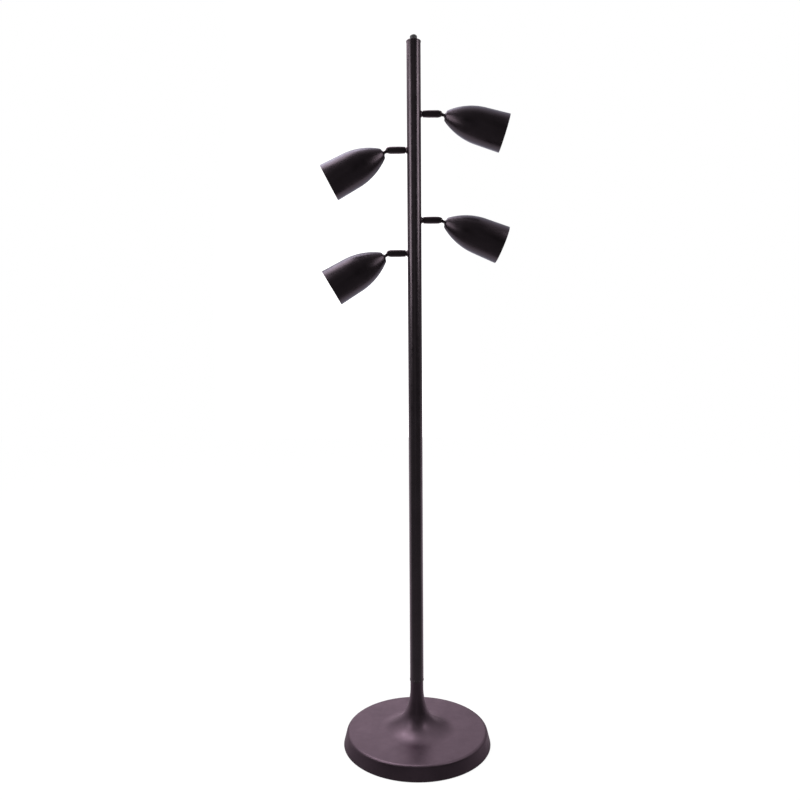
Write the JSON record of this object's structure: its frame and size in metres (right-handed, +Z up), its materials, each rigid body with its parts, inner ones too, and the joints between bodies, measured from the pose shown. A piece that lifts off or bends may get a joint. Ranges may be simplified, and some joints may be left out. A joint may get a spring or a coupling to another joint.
{
  "type": "tree floor lamp",
  "caption": "Floor lamp with a straight round pole on a weighted disc base with a trumpet neck, short side arms and bullet shades that swivel and tilt.",
  "frame": {"origin": "on the floor, at the middle of the foot pad's underside, on the pole's axis", "axes": "+Z up the pole; +X along the right-hand arms, which carry the upper head; -Y towards the viewer of the picture, and the cord enters from +Y"},
  "size_m": [0.4044, 0.3252, 1.5345],
  "materials": {
    "bronze_pole": "semi-gloss dark bronze paint",
    "bronze_base": "satin dark bronze paint",
    "bronze_shade": "semi-gloss dark bronze paint",
    "bronze_arm": "satin dark bronze paint",
    "knob_plastic": "matt dark grey",
    "zinc_steel": "zinc plated",
    "cast_weight": "raw casting",
    "pad_foam": "closed-cell foam",
    "bushing_plastic": "moulded nylon",
    "phenolic": "moulded phenolic",
    "bulb_shell": "frosted white",
    "lead_jacket": "extruded jacket"
  },
  "bodies": {
    "stand": {"arm_nuts": "zinc_steel", "base_cover": "bronze_base", "base_weight": "cast_weight", "centre_pipe": "zinc_steel", "cord_bushing": "bushing_plastic", "foot_pad": "pad_foam", "lower_coupler": "zinc_steel", "lower_pole": "bronze_pole", "middle_pole": "bronze_pole", "neck_collar": "bronze_pole", "pipe_nut": "zinc_steel", "pipe_washer": "zinc_steel", "pole_foot_bush": "zinc_steel", "pole_lead": "lead_jacket", "switch_body": "phenolic", "switch_ring_nut": "zinc_steel", "top_cap": "bronze_pole", "upper_coupler": "zinc_steel", "upper_pole": "bronze_pole", "arm_seat_upper_right": "bronze_arm", "arm_nipple_upper_right": "bronze_arm", "arm_seat_upper_left": "bronze_arm", "arm_nipple_upper_left": "bronze_arm", "arm_seat_lower_right": "bronze_arm", "arm_nipple_lower_right": "bronze_arm", "arm_seat_lower_left": "bronze_arm", "arm_nipple_lower_left": "bronze_arm"},
    "switch_rotor": {"switch_shaft": "zinc_steel", "switch_knob": "knob_plastic"},
    "swivel_upper_right": {"barrel_upper_right": "bronze_arm", "barrel_screws_upper_right": "zinc_steel"},
    "head_upper_right": {"knuckle_upper_right": "bronze_arm", "shade_upper_right": "bronze_shade", "shade_nut_upper_right": "zinc_steel", "lampholder_upper_right": "phenolic", "bulb_upper_right": "bulb_shell"},
    "swivel_upper_left": {"barrel_upper_left": "bronze_arm", "barrel_screws_upper_left": "zinc_steel"},
    "head_upper_left": {"knuckle_upper_left": "bronze_arm", "shade_upper_left": "bronze_shade", "shade_nut_upper_left": "zinc_steel", "lampholder_upper_left": "phenolic", "bulb_upper_left": "bulb_shell"},
    "swivel_lower_right": {"barrel_lower_right": "bronze_arm", "barrel_screws_lower_right": "zinc_steel"},
    "head_lower_right": {"knuckle_lower_right": "bronze_arm", "shade_lower_right": "bronze_shade", "shade_nut_lower_right": "zinc_steel", "lampholder_lower_right": "phenolic", "bulb_lower_right": "bulb_shell"},
    "swivel_lower_left": {"barrel_lower_left": "bronze_arm", "barrel_screws_lower_left": "zinc_steel"},
    "head_lower_left": {"knuckle_lower_left": "bronze_arm", "shade_lower_left": "bronze_shade", "shade_nut_lower_left": "zinc_steel", "lampholder_lower_left": "phenolic", "bulb_lower_left": "bulb_shell"}
  },
  "joints": [
    {"name": "knob_turn", "type": "hinge", "parent": "stand", "child": "switch_rotor", "pos_m": [0, 0, 1.524], "axis": [0, 0, 1], "continuous": true},
    {"name": "turn_upper_right", "type": "hinge", "parent": "stand", "child": "swivel_upper_right", "pos_m": [0.0335, 0, 1.3705], "axis": [1, 0, 0], "range_deg": [-170.5, 169.5]},
    {"name": "tilt_upper_right", "type": "hinge", "parent": "swivel_upper_right", "child": "head_upper_right", "pos_m": [0.054, 0, 1.3705], "axis": [0, -1, -0.0087], "range_deg": [-63.4, 96.6]},
    {"name": "turn_upper_left", "type": "hinge", "parent": "stand", "child": "swivel_upper_left", "pos_m": [-0.0335, 0, 1.2956], "axis": [-1, 0, 0], "range_deg": [-165.4, 174.6]},
    {"name": "tilt_upper_left", "type": "hinge", "parent": "swivel_upper_left", "child": "head_upper_left", "pos_m": [-0.054, 0, 1.2956], "axis": [0, 0.9968, 0.0802], "range_deg": [-52.6, 107.4]},
    {"name": "turn_lower_right", "type": "hinge", "parent": "stand", "child": "swivel_lower_right", "pos_m": [0.0335, 0, 1.1485], "axis": [1, 0, 0], "range_deg": [-174.8, 165.2]},
    {"name": "tilt_lower_right", "type": "hinge", "parent": "swivel_lower_right", "child": "head_lower_right", "pos_m": [0.054, 0, 1.1485], "axis": [0, -0.9965, -0.0837], "range_deg": [-58.4, 101.6]},
    {"name": "turn_lower_left", "type": "hinge", "parent": "stand", "child": "swivel_lower_left", "pos_m": [-0.0335, 0, 1.0787], "axis": [-1, 0, 0], "range_deg": [-174.3, 165.7]},
    {"name": "tilt_lower_left", "type": "hinge", "parent": "swivel_lower_left", "child": "head_lower_left", "pos_m": [-0.054, 0, 1.0787], "axis": [0, 0.9972, -0.075], "range_deg": [-49.4, 110.6]}
  ]
}
